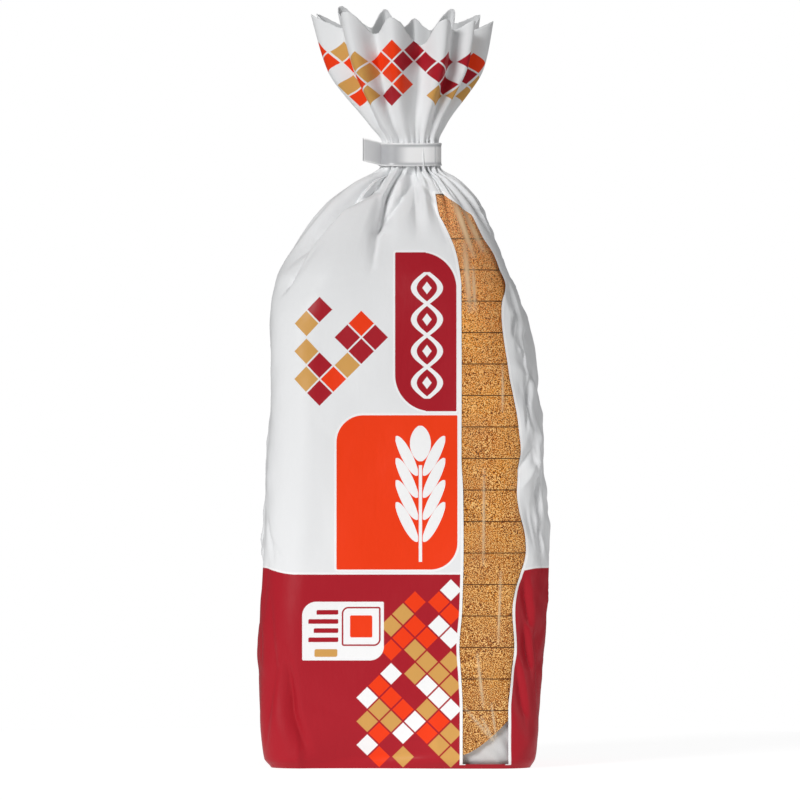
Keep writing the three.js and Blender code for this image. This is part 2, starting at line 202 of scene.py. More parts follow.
creases = [  # u and z along the path, depth (a ridge is below 0), half width on its left and on its right
    (((-40, 150), (-22, 134)), 0.4, 10, 10), (((-36, 118), (-30, 88)), 0.4, 9, 9),
    (((-44, 190), (-24, 166)), 0.5, 9, 9), (((-12, 214), (-38, 204)), 0.7, 5, 12),
    (((-52, 206), (-36, 226)), 0.8, 6, 3), (((3, 214), (20, 222)), 0.5, 7, 4),
    (((50, 206), (55, 190)), 1.2, 3, 3), (((49, 197), (53, 190)), -0.5, 2.4, 2.6),
    (((56, 184), (70, 188)), 0.9, 3, 7), (((54, 196), (50.5, 185)), 1.8, 1.5, 3),
    (((51.5, 183), (56, 177), (57, 162)), -0.9, 2, 2), (((56.6, 178), (56.6, 148)), 1.9, 1.4, 2.4),
    (((60, 169), (56, 154)), 1.8, 3, 3), (((54.5, 158), (53.5, 145)), 1.4, 1.6, 2),
    (((57, 137), (49, 126)), 2.0, 3, 5), (((61, 132), (51, 120)), -1.6, 2.5, 3),
    (((62.8, 131), (63, 85)), 1.7, 1.4, 1.8), (((64, 113), (62.6, 98)), 1.6, 3, 2.4),
    (((57, 186), (60, 160)), -0.9, 3, 2), (((61, 186), (64, 164)), 1.1, 3, 5),
    (((56, 142), (63, 112)), 1.2, 2, 6), (((64, 150), (60, 124)), -0.9, 2, 3),
    (((63, 132), (62, 106)), 1.8, 2, 7), (((59, 112), (66, 90)), -1.0, 3, 2),
    (((54, 112), (58, 92)), 0.9, 2, 5), (((68, 140), (70, 96)), 1.0, 4, 4),
    (((52, 82), (57, 60)), 2.8, 3, 7), (((60, 60), (66, 20)), 0.9, 6, 3),
    (((53, 62), (58, 42)), 2.8, 3, 7), (((49, 46), (54, 22)), 2.5, 3, 7),
    (((-59, 76), (-57, 44), (-64, 8)), 1.5, 4, 8), (((-62, 90), (-66, 62)), 0.8, 6, 6),
    (((-65, 106), (-57, 88)), 1.2, 2.2, 3), (((-60, 98), (-51, 87)), 0.8, 2, 3),
    (((-50, 46), (-47, 24), (-41, 8)), 4.2, 4, 11), (((-8, 26), (22, 12)), 0.7, 8, 8),
    (((-44, 30), (-14, 18)), 0.5, 9, 5),
]

footDents = [  # where the front of the foot slopes in under the loaf, down to the base
    (((-46, 2), (-18, 4), (16, 7)), 7.0, 24, 14),
]

neckFolds = [  # the deep folds that run in under the tape, from the tape down
    (((-7, 257), (-10.5, 248), (-27, 241), (-44, 224), (-53, 207)), 9.0, 2.8, 8),
    (((-8, 252), (-10.5, 248), (-27, 241), (-44, 224), (-54, 204)), 3.2, 1.8, 2.4),
    (((-1.5, 258), (-8.4, 246), (-12.6, 222)), -2.2, 2.2, 2.2),
    (((3.6, 258), (3.8, 250), (-1.4, 242), (-8, 231)), 7.5, 5.5, 8.5),
    (((-1, 243), (-11.3, 228), (-13, 214)), 3.6, 2, 4),
    (((7, 257), (9, 248), (15, 236), (19, 224)), 1.8, 2, 4),
    (((12, 257), (19, 244), (21, 228)), 3.4, 2, 5),
    (((4.7, 258), (7.3, 249), (13.4, 242)), -1.4, 1.2, 1.2),
    (((7.6, 258), (10.8, 252), (14.2, 245)), -1.4, 1.2, 1.2),
    (((12.9, 258), (16, 251), (17.6, 247)), -1.3, 1.2, 1.2),
    (((6.2, 258), (9, 250), (13, 244)), 3.0, 1.2, 2.0),
    (((10.3, 258), (13.4, 251), (16, 246)), 3.2, 1.2, 2.2),
    (((15.4, 258), (18.5, 251), (23, 243)), 2.8, 1.2, 2.2),
    (((-8, 258), (-20, 253), (-36, 243)), -1.0, 3, 3), (((18, 257), (30, 246), (40, 232)), 1.6, 4, 3),
    (((22, 257), (38, 242), (46, 226)), -1.0, 3, 3),
]

sideCreases = [  # on both sides: the folded corners of the block bottom and the slack of the gusset
    (((72, 3), (103, 44), (134, 3)), 1.3, 3, 3), (((103, 44), (103, 210)), 1.1, 7, 7),
    (((84, 226), (98, 176)), 1.2, 6, 4), (((122, 226), (108, 172)), 1.2, 4, 6),
    (((90, 120), (99, 70)), 0.8, 6, 6), (((118, 150), (110, 96)), 0.8, 6, 6),
]

looseZones = [  # seed, count and range of u and z of the small creases beside and behind the print
    (4, 12, (50, 74), (30, 190)), (9, 14, (74, 134), (40, 200)), (17, 16, (-134, -62), (40, 205)),
    (23, 16, (138, 200), (40, 220)), (31, 16, (-200, -138), (40, 220)),
]


def seededCreases(seed, count, uRange, zRange):
    draw = np.random.default_rng(seed)
    made = []
    for _ in range(count):
        u, z, length = draw.uniform(*uRange), draw.uniform(*zRange), draw.uniform(16, 50)
        lean, bend = draw.normal(0, 0.22), draw.normal(0, 0.14)
        path = ((u, z), (u + (lean - bend) * length / 2, z + length / 2), (u + lean * length, z + length))
        depth, left, right = draw.uniform(0.4, 1.1) * draw.choice((-1, 1)), *draw.uniform(1.5, 6, 2)
        made.append((path, depth, left, right))
    return made


def allCreases():
    mirrored = [(tuple((-u, z) for u, z in path), depth, right, left)
                for path, depth, left, right in sideCreases]
    loose = [crease for zone in looseZones for crease in seededCreases(*zone)]
    return creases + sideCreases + mirrored + loose


def creaseInset(u, z, lines, fromTape=False):
    # mm that creases press the film in; each fades at its ends, or at its lower end only
    inset = np.zeros_like(u)
    for path, depth, left, right in lines:
        points = np.array(path, float)
        steps = np.diff(points, axis=0)
        lengths = np.hypot(*steps.T)
        starts = np.concatenate([[0], np.cumsum(lengths)])
        best, side, along = np.full_like(u, 1e9), np.zeros_like(u), np.zeros_like(u)
        for (u0, z0), (du, dz), length, start in zip(points, steps, lengths, starts):
            t = np.clip(((u - u0) * du + (z - z0) * dz) / length**2, 0, 1)
            away = np.hypot(u - u0 - t * du, z - z0 - t * dz)
            nearer = away < best
            best = np.where(nearer, away, best)
            side = np.where(nearer, (z - z0) * du - (u - u0) * dz, side)
            along = np.where(nearer, (start + t * length) / starts[-1], along)
        if fromTape:
            along = 0.5 + 0.5 * along
        taper = np.sqrt(np.sin(np.pi * np.clip(along, 0.02, 0.98)))
        inset += depth * np.maximum(0, 1 - best / np.where(side > 0, left, right)) ** 1.5 * taper
    return inset


def crumple(u, z):
    # bent waves with sharp ridges: strong beside the clear strip, weaker round the sides, faint in front
    draw = np.random.default_rng(8)
    total = np.zeros_like(u)
    for _ in range(bag["crumpleWaves"]):
        length, lean = draw.uniform(12, 28), draw.normal(0, 0.35)
        phase, bend, bendLength = draw.uniform(0, 1), draw.uniform(0.15, 0.5), draw.uniform(30, 80)
        t = (u * math.cos(lean) + z * math.sin(lean)) / length + phase
        t = t + bend * np.sin(2 * np.pi * (z / bendLength + phase))
        waves = z / draw.uniform(40, 90) + u / draw.uniform(40, 90)
        present = 0.5 + 0.5 * np.sin(2 * np.pi * (waves + phase))
        total += present * (4 * np.abs(t - np.floor(t) - 0.5) - 1)
    strip, around = hill(bag["stripZone"], u), hill(bag["sideZone"], np.abs(u))
    depth = bag["crumpleFront"] + bag["crumpleSide"] * around + bag["crumpleStrip"] * strip
    # the printed foot lies taut round the loaf, and so does the shoulder
    foot, shoulder = smoothstep(*bag["tautFoot"], z), smoothstep(*bag["tautShoulder"], z)
    taut = (0.35 + 0.65 * foot) * (1 - 0.6 * shoulder)
    return total / math.sqrt(bag["crumpleWaves"]) * depth * taut


def dents(share, z):
    # sums of long waves that close round the bag
    draw = np.random.default_rng(12)
    total = np.zeros_like(share * z)
    for _ in range(bag["dentWaves"]):
        turns, length = draw.integers(-9, 10), draw.uniform(45, 130)
        total += np.sin(2 * np.pi * (turns * share + z / length) + draw.uniform(0, 2 * np.pi))
    return total * bag["dent"] / math.sqrt(bag["dentWaves"] / 2)


def finePleats(share, z):
    draw = np.random.default_rng(5)
    count = bag["finePleats"]
    at = np.sort((np.arange(count) + draw.uniform(-0.3, 0.3, count)) / count) % 1
    out = np.where(np.arange(count) % 2, 1, -1) * draw.uniform(0.5, 1, count)
    order = np.argsort(at)
    wave = ringValue(at[order], out[order], share)
    fade = smoothstep(*bag["fineFrom"], z) * (1 - 0.9 * smoothstep(*bag["fineTo"], z))
    # weakest on the left of the front, where broad folds lie instead, and strongest on its right
    turn = (share + 0.5) % 1 - 0.5
    weak = hill(bag["fineWeak"], turn) * (z < bag["neckBottom"] + 4)
    depth = bag["fineDepth"] * (1 - 0.65 * weak + 1.5 * hill(bag["fineStrong"], turn))
    # broad ridges with narrow valleys
    return depth * fade * (2 * ((wave + 1) / 2) ** 0.6 - 1.35)


def printPlace(share, z):
    return outlineAt(z)[0] + ((share + 0.5) % 1 - 0.5) * perimeterAt(z)


def wrinkles(share, z):
    # mm that the film stands out of the smooth form
    level = hill(bag["creased"], z)
    seam = smoothstep(0, 1.2, bag["backSeam"] / 2 - np.abs((share - 0.5) * perimeterAt(z)))
    u = printPlace(share, z)
    out = level * (dents(share, z) + crumple(u, z) - 0.4 - creaseInset(u, z, allCreases()))
    out -= creaseInset(u, z, footDents)
    # the folds under the tape stop short of the film on the other side
    room = bag["foldRoom"] * smoothColumn(outlineRows, 3, z)
    folds = room * np.tanh(creaseInset(u, z, neckFolds, True) / room)
    out += finePleats(share, z) - (1 - smoothstep(*bag["foldEnd"], z)) * folds
    return out + bag["seamStep"] * seam * hill(bag["seamHeights"], z)


def filmPoint(share, z, extra):
    # points of the film, extra mm outside the pleated form
    middle, halfWidth, halfDepth, corner = outlineAt(z)
    x, y, nx, ny = roundedRectangle(share, halfWidth, halfDepth, corner)
    smooth = 1 - smoothstep(bag["neckBottom"], bag["neckTop"], z)
    out = pleatOut(share, z) - shoulderInset(share, z) * smooth + extra
    return np.stack([middle + x + nx * out, y + ny * out, z + 0 * x], -1)


# Meshes

def meshFromGrid(name, points, faces, uv=None, attributes=None):
    # points in mm; only those that the faces use are kept
    used, index = np.unique(faces, return_inverse=True)
    index = index.reshape(faces.shape)
    mesh = bpy.data.meshes.new(name)
    mesh.vertices.add(len(used))
    mesh.vertices.foreach_set("co", (points[used] * metres).astype(np.float32).ravel())
    mesh.loops.add(index.size)
    mesh.loops.foreach_set("vertex_index", index.ravel().astype(np.int32))
    mesh.polygons.add(len(index))
    mesh.polygons.foreach_set("loop_start", np.arange(0, index.size, 4, dtype=np.int32))
    mesh.update(calc_edges=True)
    if uv is not None:
        layer = mesh.uv_layers.new(name="print")
        layer.data.foreach_set("uv", uv.astype(np.float32).ravel())
    for key, value in (attributes or {}).items():
        made = mesh.attributes.new(key, "FLOAT", "POINT")
        made.data.foreach_set("value", value[used].astype(np.float32))
    mesh.validate()
    mesh.polygons.foreach_set("use_smooth", np.ones(len(mesh.polygons), bool))
    piece = bpy.data.objects.new(name, mesh)
    bpy.context.scene.collection.objects.link(piece)
    return piece


def gridFaces(rows, columns, closed):
    across = np.arange(columns if closed else columns - 1)
    row, column = np.meshgrid(np.arange(rows - 1), across, indexing="ij")
    after = (column + 1) % columns
    quads = np.stack([row * columns + column, row * columns + after,
                      (row + 1) * columns + after, (row + 1) * columns + column], -1)
    return quads.reshape(-1, 4), row.ravel(), column.ravel()


def faceCorners(shares, heights, row, column):
    # share and height at the corners of each face; no face spans the jump of the share at the back
    after = (column + 1) % shares.shape[1]
    corners = [(row, column), (row, after), (row + 1, after), (row + 1, column)]
    share = np.stack([shares[r, c] + (c < column) for r, c in corners], 1)
    share -= np.round(share.mean(1))[:, None]
    return share, np.stack([heights[r, c] for r, c in corners], 1)


def finishPiece(piece, material, slotName, *replaced):
    piece.data.materials.append(material)
    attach(piece, "root")
    if replaced:
        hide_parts(*replaced)
    return piece


# Materials. Colours are sRGB hex, turned to linear by one function.

def linear(hexCode):
    parts = [int(hexCode[i:i + 2], 16) / 255 for i in (1, 3, 5)]
    return (*[c / 12.92 if c <= 0.04045 else ((c + 0.055) / 1.055) ** 2.4 for c in parts], 1.0)


def addNodeTo(tree, kind, inputs=(), operation=None, **settings):
    # inputs are a list in the order of the sockets, or a dictionary by socket
    node = tree.nodes.new("ShaderNode" + kind)
    if operation:
        node.operation = operation
    for name, value in settings.items():
        setattr(node, name, value)
    for key, value in inputs.items() if isinstance(inputs, dict) else enumerate(inputs):
        if isinstance(value, bpy.types.Node):
            value = next(o for o in value.outputs if o.enabled)
        if isinstance(value, bpy.types.NodeSocket):
            tree.links.new(value, node.inputs[key])
        else:
            node.inputs[key].default_value = value
    return node


def newMaterial(name):
    material = bpy.data.materials.new(name)
    material.use_nodes = True
    material.node_tree.nodes.clear()
    return material, partial(addNodeTo, material.node_tree)


printLook = {
    "film": "#f3f4f5", "inner": "#d8d9da",  # outer face, and inner face greyed as painted shade
    "white": "#ffffff", "maroon": "#b0222e", "orange": "#fa421a", "gold": "#dba55a",
    "inkEdge": 0.12, "sharp": 0.6,  # half the soft edge of an ink, radius of a panel's sharp corners
    "fieldTop": 83.0,  # top of the maroon field
    "fieldRise": 2.6, "fieldEdges": ((-46, -66), (40, 60)),  # it lies higher at the bag's two edges
    "keyline": 0.9, "stripLine": 1.25,  # white lines round each panel and along the clear strip
    # panels: lower left and upper right corner, radius, and which diagonal has the round corners
    "orangePanel": ((-28.4, 85.1), (23.2, 150.9), 11.5, "falling"),
    "tabPanel": ((-3.4, 152.6), (22.8, 220.6), 15.5, "rising"),
    "labelPanel": ((-43, 46.4), (-8.2, 71.4), 6, "falling"),
    "labelFrame": ((-25.8, 52.9), (-9.9, 68.9), 2.6, "falling"),
    "labelStone": ((-22.6, 56.2), (-13.1, 65.6), 0.8, "rising"),
    "labelGold": ((-37.8, 47.9), (-28, 51.2), 0.9, "falling"),
    "frameLine": 0.35,
    # tiles on their points: side, two corners of their zone, share that is drawn at its left and right
    "tileGap": 0.7,
    "whiteTiles": ((8.4, (-46, 158), (-10, 198), (0.5, 0.5)),
                   (6.8, (-200, 286.5), (200, 308.5), (0.7, 0.7))),
    "fieldTiles": ((7.2, (-16, 3), (22, 44), (0.35, 1.0)),
                   (7.2, (-6, 44), (22, 80), (0.52, 1.0))),
    "barLefts": (-40.4, -38.1, -40.4, -36.9), "barRight": -27.6,  # the label's bars
    "barFoot": 54.2, "barPitch": 3.9, "bar": 2.0,
}


def panelEdge(add, place, panel):
    # mm outside a panel that has two opposite corners round
    lowCorner, highCorner, rounding, diagonal = panel
    low, high = Vector((*lowCorner, -500)), Vector((*highCorner, 500))
    offset = add("VectorMath", [place, (low + high) / 2], "SUBTRACT")
    split = add("SeparateXYZ", [offset])
    product = add("Math", [split.outputs[0], split.outputs[1]], "MULTIPLY")
    chosen = add("Math", [product, 0.0], "GREATER_THAN" if diagonal == "rising" else "LESS_THAN")
    radius = add("MapRange", {0: chosen, 3: printLook["sharp"], 4: rounding})
    positive = add("VectorMath", [offset], "ABSOLUTE")
    inner = add("VectorMath", [(high - low) / 2, radius], "SUBTRACT")
    past = add("VectorMath", [positive, inner], "SUBTRACT")
    clipped = add("VectorMath", [past, (0, 0, 0)], "MAXIMUM")
    length = add("VectorMath", [clipped], "LENGTH")
    return add("Math", [length.outputs["Value"], radius], "SUBTRACT")


def ink(add, under, edge, colour, reach=0.0):
    # colour laid over what is under it wherever the edge distance is below reach
    soft = printLook["inkEdge"]
    mask = add("MapRange", [edge, reach - soft, reach + soft, 1.0, 0.0])
    return add("Mix", {0: mask, 6: under, 7: colour}, data_type="RGBA")


def within(add, value, low, high):
    # mm outside a stretch of one coordinate
    away = add("Math", [value, (low + high) / 2], "SUBTRACT")
    size = add("Math", [away], "ABSOLUTE")
    return add("Math", [size, (high - low) / 2], "SUBTRACT")


def bothOf(add, *edges):
    joined = edges[0]
    for edge in edges[1:]:
        joined = add("Math", [joined, edge], "MAXIMUM")
    return joined


def tiles(add, place, colours, side, low, high, chances):
    # edge distance and colour of square tiles on their points, each in one colour or left out by chance
    turned = add("VectorRotate", {"Vector": place, "Angle": math.pi / 4}, rotation_type="Z_AXIS")
    scaled = add("VectorMath", [turned, (1 / side, 1 / side, 0)], "MULTIPLY")
    cell = add("VectorMath", [scaled], "FLOOR")
    inside = add("VectorMath", [scaled], "FRACTION")
    centred = add("VectorMath", [inside, (0.5, 0.5, 0)], "SUBTRACT")
    positive = add("VectorMath", [centred], "ABSOLUTE")
    split = add("SeparateXYZ", [positive])
    reach = add("Math", [split.outputs[0], split.outputs[1]], "MAXIMUM")
    edge = add("Math", [reach, side, (printLook["tileGap"] - side) / 2], "MULTIPLY_ADD")
    chance = add("TexWhiteNoise", {"Vector": cell}, noise_dimensions="2D")
    shade = add("ValToRGB", [chance.outputs["Value"]])
    shade.color_ramp.interpolation = "CONSTANT"
    while len(shade.color_ramp.elements) < len(colours):
        shade.color_ramp.elements.new(0.5)
    for element, (start, colour) in zip(shade.color_ramp.elements, colours):
        element.position, element.color = start, linear(colour)
    other = add("SeparateColor", [chance.outputs["Color"]])
    middle = add("VectorMath", [cell, (0.5, 0.5, 0)], "ADD")
    grown = add("VectorMath", [middle, (side, side, 0)], "MULTIPLY")
    back = add("VectorRotate", {"Vector": grown, "Angle": -math.pi / 4}, rotation_type="Z_AXIS")
    centre = add("SeparateXYZ", [back])
    share = add("MapRange", [centre.outputs[0], low[0], high[0], chances[0], chances[1]])
    missing = add("Math", [other.outputs[2], share], "GREATER_THAN")
    outside = bothOf(add, within(add, centre.outputs[0], low[0], high[0]),
                     within(add, centre.outputs[1], low[1], high[1]))
    beyond = add("Math", [outside, 0.0], "GREATER_THAN")
    absent = add("Math", [missing, beyond], "ADD")
    kept = add("Math", [absent, 50.0, edge], "MULTIPLY_ADD")
    return kept, shade


def grain(add, along, across, length, width):
    # mm outside a grain of wheat: a pointed oval that starts at 0 and runs along
    t = add("Math", [along, length], "DIVIDE", use_clamp=True)
    rest = add("Math", [1.0, t], "SUBTRACT")
    hump = add("Math", [t, rest], "MULTIPLY")
    full = add("Math", [hump, 0.62], "POWER")
    half = add("Math", [full, width * 1.18], "MULTIPLY")
    size = add("Math", [across], "ABSOLUTE")
    edge = add("Math", [size, half], "SUBTRACT")
    return bothOf(add, edge, within(add, along, 0.2, length - 0.2))


ear = {  # the ear of wheat on the orange panel
    "middle": 7.4, "foot": 92.0, "pairs": 4, "pitch": 9.4, "reach": 10.0, "lean": 1.5, "fat": 9.4,
    "tipGrain": 15.5, "stalk": 0.7, "stalkFoot": 88.4,
}


def wheatEar(add, u, v):
    across = add("Math", [u, ear["middle"]], "SUBTRACT")
    side = add("Math", [across], "ABSOLUTE")
    # each pair sits in a slanted row that climbs away from the stalk
    slant = add("Math", [side, -ear["lean"], v], "MULTIPLY_ADD")
    row = add("Math", [slant, ear["foot"]], "SUBTRACT")
    centre = add("Math", [row, ear["pitch"]], "MODULO")
    offset = add("Math", [centre, ear["pitch"] / 2], "SUBTRACT")
    start = add("Math", [side, 0.8], "SUBTRACT")
    pair = grain(add, start, offset, ear["reach"], ear["fat"])
    top = ear["foot"] + ear["pairs"] * ear["pitch"]
    rows = within(add, row, 0, top - ear["foot"])
    tip = add("Math", [v, top + 1.5], "SUBTRACT")
    last = grain(add, tip, across, ear["tipGrain"], ear["fat"] * 0.95)
    stalk = bothOf(add, within(add, v, ear["stalkFoot"], top),
                   within(add, across, -ear["stalk"], ear["stalk"]))
    edge = bothOf(add, pair, rows)
    for other in (last, stalk):
        edge = add("Math", [edge, other], "MINIMUM")
    return edge


plait = {"middle": 10.2, "swing": 5.6, "turn": 27.0, "half": 1.25, "low": 158.0, "high": 212.0}


def plaitedStrip(add, u, v):
    # two strands that cross and cross again, with a diamond in each loop
    across = add("Math", [u, plait["middle"]], "SUBTRACT")
    side = add("Math", [across], "ABSOLUTE")
    rise = add("Math", [v, plait["low"]], "SUBTRACT")
    angle = add("Math", [rise, 2 * math.pi / plait["turn"]], "MULTIPLY")
    wave = add("Math", [angle], "SINE")
    swing = add("Math", [wave], "ABSOLUTE")
    line = add("Math", [swing, -plait["swing"], side], "MULTIPLY_ADD")
    gap = add("Math", [line], "ABSOLUTE")
    strand = add("Math", [gap, plait["half"]], "SUBTRACT")
    inLoop = add("Math", [rise, plait["turn"] / 2], "MODULO")
    away = add("Math", [inLoop, plait["turn"] / 4], "SUBTRACT")
    tall = add("Math", [away], "ABSOLUTE")
    diamond = add("Math", [tall, 0.75, side], "MULTIPLY_ADD")
    stone = add("Math", [diamond, 2.0], "SUBTRACT")
    both = add("Math", [strand, stone], "MINIMUM")
    return bothOf(add, both, within(add, v, plait["low"], plait["high"]))


def printedFilm():
    # White polypropylene film, blown, then gravure printed: opaque inks, a soft gloss and faint ripples
    material, add = newMaterial("printedPolypropyleneFilm")
    place = add("UVMap", uv_map="print")
    split = add("SeparateXYZ", [place])
    u, v = split.outputs[0], split.outputs[1]
    look = printLook
    white, maroon, orange, gold = (linear(look[k]) for k in ("white", "maroon", "orange", "gold"))
    colour = add("RGB")
    colour.outputs[0].default_value = linear(look["film"])

    # Tiles strewn on the white film of the front, and in a band round the ruff
    strewn = [(0, look["orange"]), (0.38, look["maroon"]), (0.72, look["gold"])]
    for zone in look["whiteTiles"]:
        colour = ink(add, colour, *tiles(add, place, strewn, *zone))

    # Orange panel with the ear of wheat, maroon tab with the plaited strip
    for name, inkColour, motif in (("orangePanel", orange, wheatEar), ("tabPanel", maroon, plaitedStrip)):
        edge = panelEdge(add, place, look[name])
        colour = ink(add, colour, edge, white, look["keyline"])
        colour = ink(add, colour, edge, inkColour)
        colour = ink(add, colour, motif(add, u, v), white)

    # Maroon field round the foot, a little higher at the bag's edges
    top = look["fieldTop"]
    for inner, outer in look["fieldEdges"]:
        rise = add("MapRange", {0: u, 1: inner, 2: outer, 4: look["fieldRise"]},
                   interpolation_type="SMOOTHSTEP")
        top = add("Math", [rise, top], "ADD")
    field = add("Math", [v, top], "SUBTRACT")
    colour = ink(add, colour, field, white, look["keyline"])
    colour = ink(add, colour, field, maroon)

    # Tiles up the right of the field, thinning out to the left
    mosaic = [(0, look["white"]), (0.36, look["gold"]), (0.62, look["orange"])]
    for zone in look["fieldTiles"]:
        edge, shade = tiles(add, place, mosaic, *zone)
        edge = bothOf(add, edge, within(add, v, 0, look["fieldTop"] - look["keyline"]))
        colour = ink(add, colour, edge, shade)

    # Label panel: plain bars, a gold bar and a framed square
    edge = panelEdge(add, place, look["labelPanel"])
    colour = ink(add, colour, edge, white)
    colour = ink(add, colour, panelEdge(add, place, look["labelGold"]), gold)
    for k, barLeft in enumerate(look["barLefts"]):
        foot = look["barFoot"] + look["barPitch"] * k
        bar = ((barLeft, foot), (look["barRight"], foot + look["bar"]), 0.3, "rising")
        colour = ink(add, colour, panelEdge(add, place, bar), maroon)
    edge = panelEdge(add, place, look["labelFrame"])
    ring = add("Math", [edge], "ABSOLUTE")
    colour = ink(add, colour, ring, maroon, look["frameLine"])
    colour = ink(add, colour, panelEdge(add, place, look["labelStone"]), orange)

    # White line along the clear strip
    border = add("Attribute", attribute_name="windowDistance")
    above = add("Math", [windowFoot + look["keyline"], v], "SUBTRACT")
    colour = ink(add, colour, bothOf(add, border.outputs["Fac"], above), white, look["stripLine"])

    # ripples 3 mm apart across and 8 mm up, with a finer grain, a few hundredths of a millimetre high
    inSpace = add("TexCoord").outputs["Object"]
    stretched = add("Mapping", {0: inSpace, 3: (330, 330, 120)})
    ripple = add("TexNoise", {"Vector": stretched, "Scale": 1.0, "Detail": 3.0})
    bump = add("Bump", {"Height": ripple, "Strength": 0.22, "Distance": 0.0006})
    gloss = add("MapRange", {0: ripple, 3: 0.3, 4: 0.44})
    shader = add("BsdfPrincipled", {"Base Color": colour, "Roughness": gloss, "Normal": bump,
                                    "IOR": 1.49, "Specular IOR Level": 0.12})
    add("OutputMaterial", [shader])
    return material


clearLook = {"tint": "#ffe6ba", "least": 0.01, "paintedGlintOpacity": 0.74}  # opacity where smooth, and on the creases where glints are painted


def clearFilm():
    # Clear polypropylene film: almost invisible, with painted glints where it is creased, as light cream
    # streaks of raised opacity
    material, add = newMaterial("clearPolypropyleneFilm")
    glint = add("Attribute", attribute_name="glint")
    alpha = add("MapRange", {0: glint.outputs["Fac"], 3: clearLook["least"], 4: clearLook["paintedGlintOpacity"]})
    shader = add("BsdfPrincipled", {"Base Color": linear(clearLook["tint"]), "Roughness": 0.16,
                                    "IOR": 1.49, "Alpha": alpha})
    add("OutputMaterial", [shader])
    return material


def innerFilm():
    # The unprinted inner face of the same film, matt, and greyer as painted shade inside the ruff and in
    # the tuck
    material, add = newMaterial("filmInnerFacePaintedShade")
    shader = add("BsdfPrincipled", {"Base Color": linear(printLook["inner"]), "Roughness": 0.5,
                                    "Specular IOR Level": 0.2})
    add("OutputMaterial", [shader])
    return material


crustLook = {
    # low and high are the crust's tones; the third colour is painted shade along the cut edges, where the
    # slices meet
    "low": "#cf7620", "high": "#ec9426", "paintedGapShade": "#7a4316",
    "paintedLightByHeight": (0.73, 1.42),  # painted shade at the foot and painted light at the top, as brightness at each end
    "paintedTopLight": "#ff8c3c", "paintedTopLightMost": 0.8,  # painted light on the topmost slices: a brighter, redder colour, and its strongest share
    "dark": "#5c2604", "light": "#ffd086", "speckScale": 2600.0,
    "crumbLow": "#bd9a68", "crumbHigh": "#e8d3aa",
}


def crust():
    # Wheat bread crust, baked in a tin: matt, golden brown, with a sandy speckle, cut rims darkened as
    # painted shade, and painted shade and light by height
    material, add = newMaterial("bakedWheatCrust")
    look = crustLook
    place = add("TexCoord").outputs["Object"]
    patches = add("TexNoise", {"Vector": place, "Scale": 60.0, "Detail": 3.0})
    base = add("ValToRGB", [patches])
    for element, position, shade in zip(base.color_ramp.elements, (0.34, 0.68), ("low", "high")):
        element.position, element.color = position, linear(look[shade])
    # painted shade and light: darker towards the foot, brighter towards the top, and redder on the
    # topmost slices
    height = add("SeparateXYZ", [place])
    paintedLightByHeight = add("MapRange", [height.outputs[2], 0.01, 0.24, *look["paintedLightByHeight"]])
    base = add("HueSaturation", {"Color": base, "Value": paintedLightByHeight})
    paintedTopLight = add("MapRange", [height.outputs[2], 0.18, 0.23, 0.0, look["paintedTopLightMost"]])
    base = add("Mix", {0: paintedTopLight, 6: base, 7: linear(look["paintedTopLight"])}, data_type="RGBA")
    # specks about 0.4 mm across, a little coarser than real ones
    speck = add("TexNoise", {"Vector": place, "Scale": look["speckScale"], "Detail": 0.0})
    dark = add("MapRange", [speck, 0.49, 0.35, 0.0, 1.0])
    darkened = add("Mix", {0: dark, 6: base, 7: linear(look["dark"])}, data_type="RGBA")
    light = add("MapRange", [speck, 0.53, 0.64, 0.0, 1.0])
    flecked = add("Mix", {0: light, 6: darkened, 7: linear(look["light"])}, data_type="RGBA")
    # painted shade in the narrow gaps between the slices, along each cut edge
    paintedGapShade = add("Attribute", attribute_name="paintedGapShade")
    cut = add("Mix", {0: paintedGapShade.outputs["Fac"], 6: flecked, 7: linear(look["paintedGapShade"])}, data_type="RGBA")
    bump = add("Bump", {"Height": speck, "Strength": 0.35, "Distance": 0.0004})
    shader = add("BsdfPrincipled", {"Base Color": cut, "Roughness": 0.82, "Normal": bump,
                                    "Specular IOR Level": 0.25})
    add("OutputMaterial", [shader])
    return material


def crumb():
    # Wheat crumb, cut when cool: pale, dull and open, with pores about 1 mm across
    material, add = newMaterial("cutWheatCrumb")
    place = add("TexCoord").outputs["Object"]
    pores = add("TexNoise", {"Vector": place, "Scale": 700.0, "Detail": 3.0})
    tone = add("MapRange", [pores, 0.36, 0.56])
    low, high = linear(crustLook["crumbLow"]), linear(crustLook["crumbHigh"])
    colour = add("Mix", {0: tone, 6: low, 7: high}, data_type="RGBA")
    bump = add("Bump", {"Height": pores, "Strength": 0.6, "Distance": 0.0006})
    shader = add("BsdfPrincipled", {"Base Color": colour, "Roughness": 0.95, "Normal": bump})
    add("OutputMaterial", [shader])
    return material


tapeLook = {"low": "#b6b7ba", "high": "#c8c9cb", "paintedHighlight": "#ffffff"}


def tape():
    # Pearl-coated polypropylene tape, rolled: smooth, satin, silvery white, with painted highlights on
    # its front, its tab and along its edges
    material, add = newMaterial("pearlCoatedTape")
    place = add("TexCoord").outputs["Object"]
    cloud = add("TexNoise", {"Vector": place, "Scale": 160.0, "Detail": 1.0})
    low, high = linear(tapeLook["low"]), linear(tapeLook["high"])
    tone = add("Mix", {0: cloud, 6: low, 7: high}, data_type="RGBA")
    # painted highlight, from a point attribute
    paintedHighlight = add("Attribute", attribute_name="paintedHighlight")
    colour = add("Mix", {0: paintedHighlight.outputs["Fac"], 6: tone, 7: linear(tapeLook["paintedHighlight"])}, data_type="RGBA")
    shader = add("BsdfPrincipled", {"Base Color": colour, "Roughness": 0.3})
    add("OutputMaterial", [shader])
    return material


# The printed film and the clear strip are one grid of columns that follow the strip's edges

